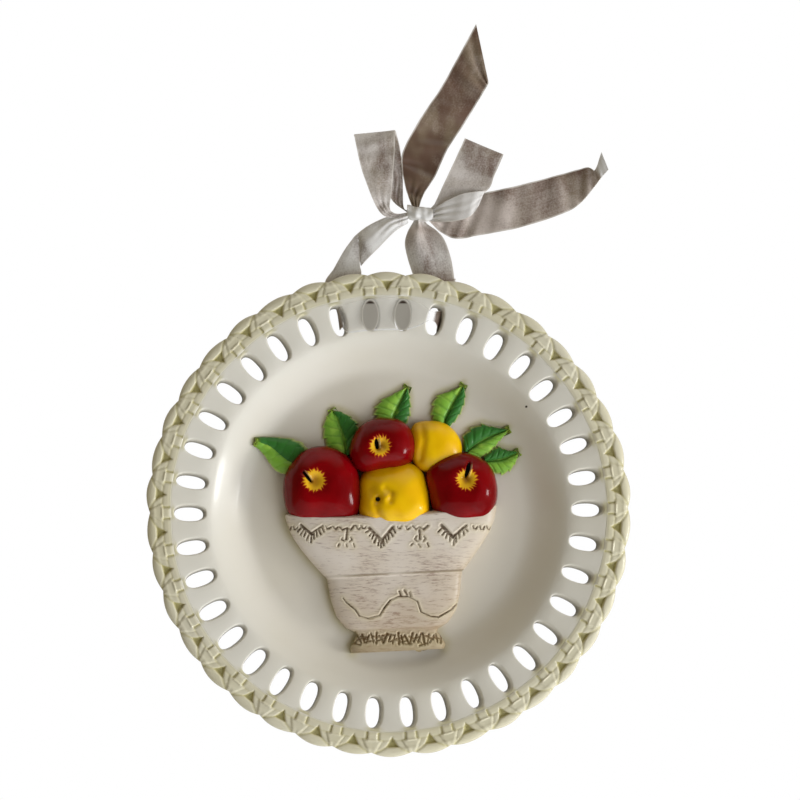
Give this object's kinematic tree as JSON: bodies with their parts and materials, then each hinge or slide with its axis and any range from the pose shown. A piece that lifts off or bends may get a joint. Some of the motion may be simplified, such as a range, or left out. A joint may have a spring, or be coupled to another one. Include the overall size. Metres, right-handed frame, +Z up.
{
  "type": "decorative wall plate",
  "caption": "Round glazed ceramic wall plate with an openwork rim, a woven scalloped border and a raised fruit basket, hung from a nail by a sheer ribbon tied in a bow.",
  "frame": {"origin": "the point on the wall where the nail stands out, in the fork of the ribbon just under the bow's knot", "axes": "+Z up along the wall, +Y into the wall, so the plate's front looks towards -Y, and +X to the right as seen from the front"},
  "size_m": [0.1994, 0.0234, 0.3035],
  "materials": {
    "ivory_glaze": "glossy ivory glaze with olive wash in the weave and painted fruit",
    "taupe_ribbon": "sheer shimmering ribbon with pale selvages"
  },
  "bodies": {
    "root": {"plate": "ivory_glaze", "ribbon": "taupe_ribbon"}
  },
  "joints": []
}
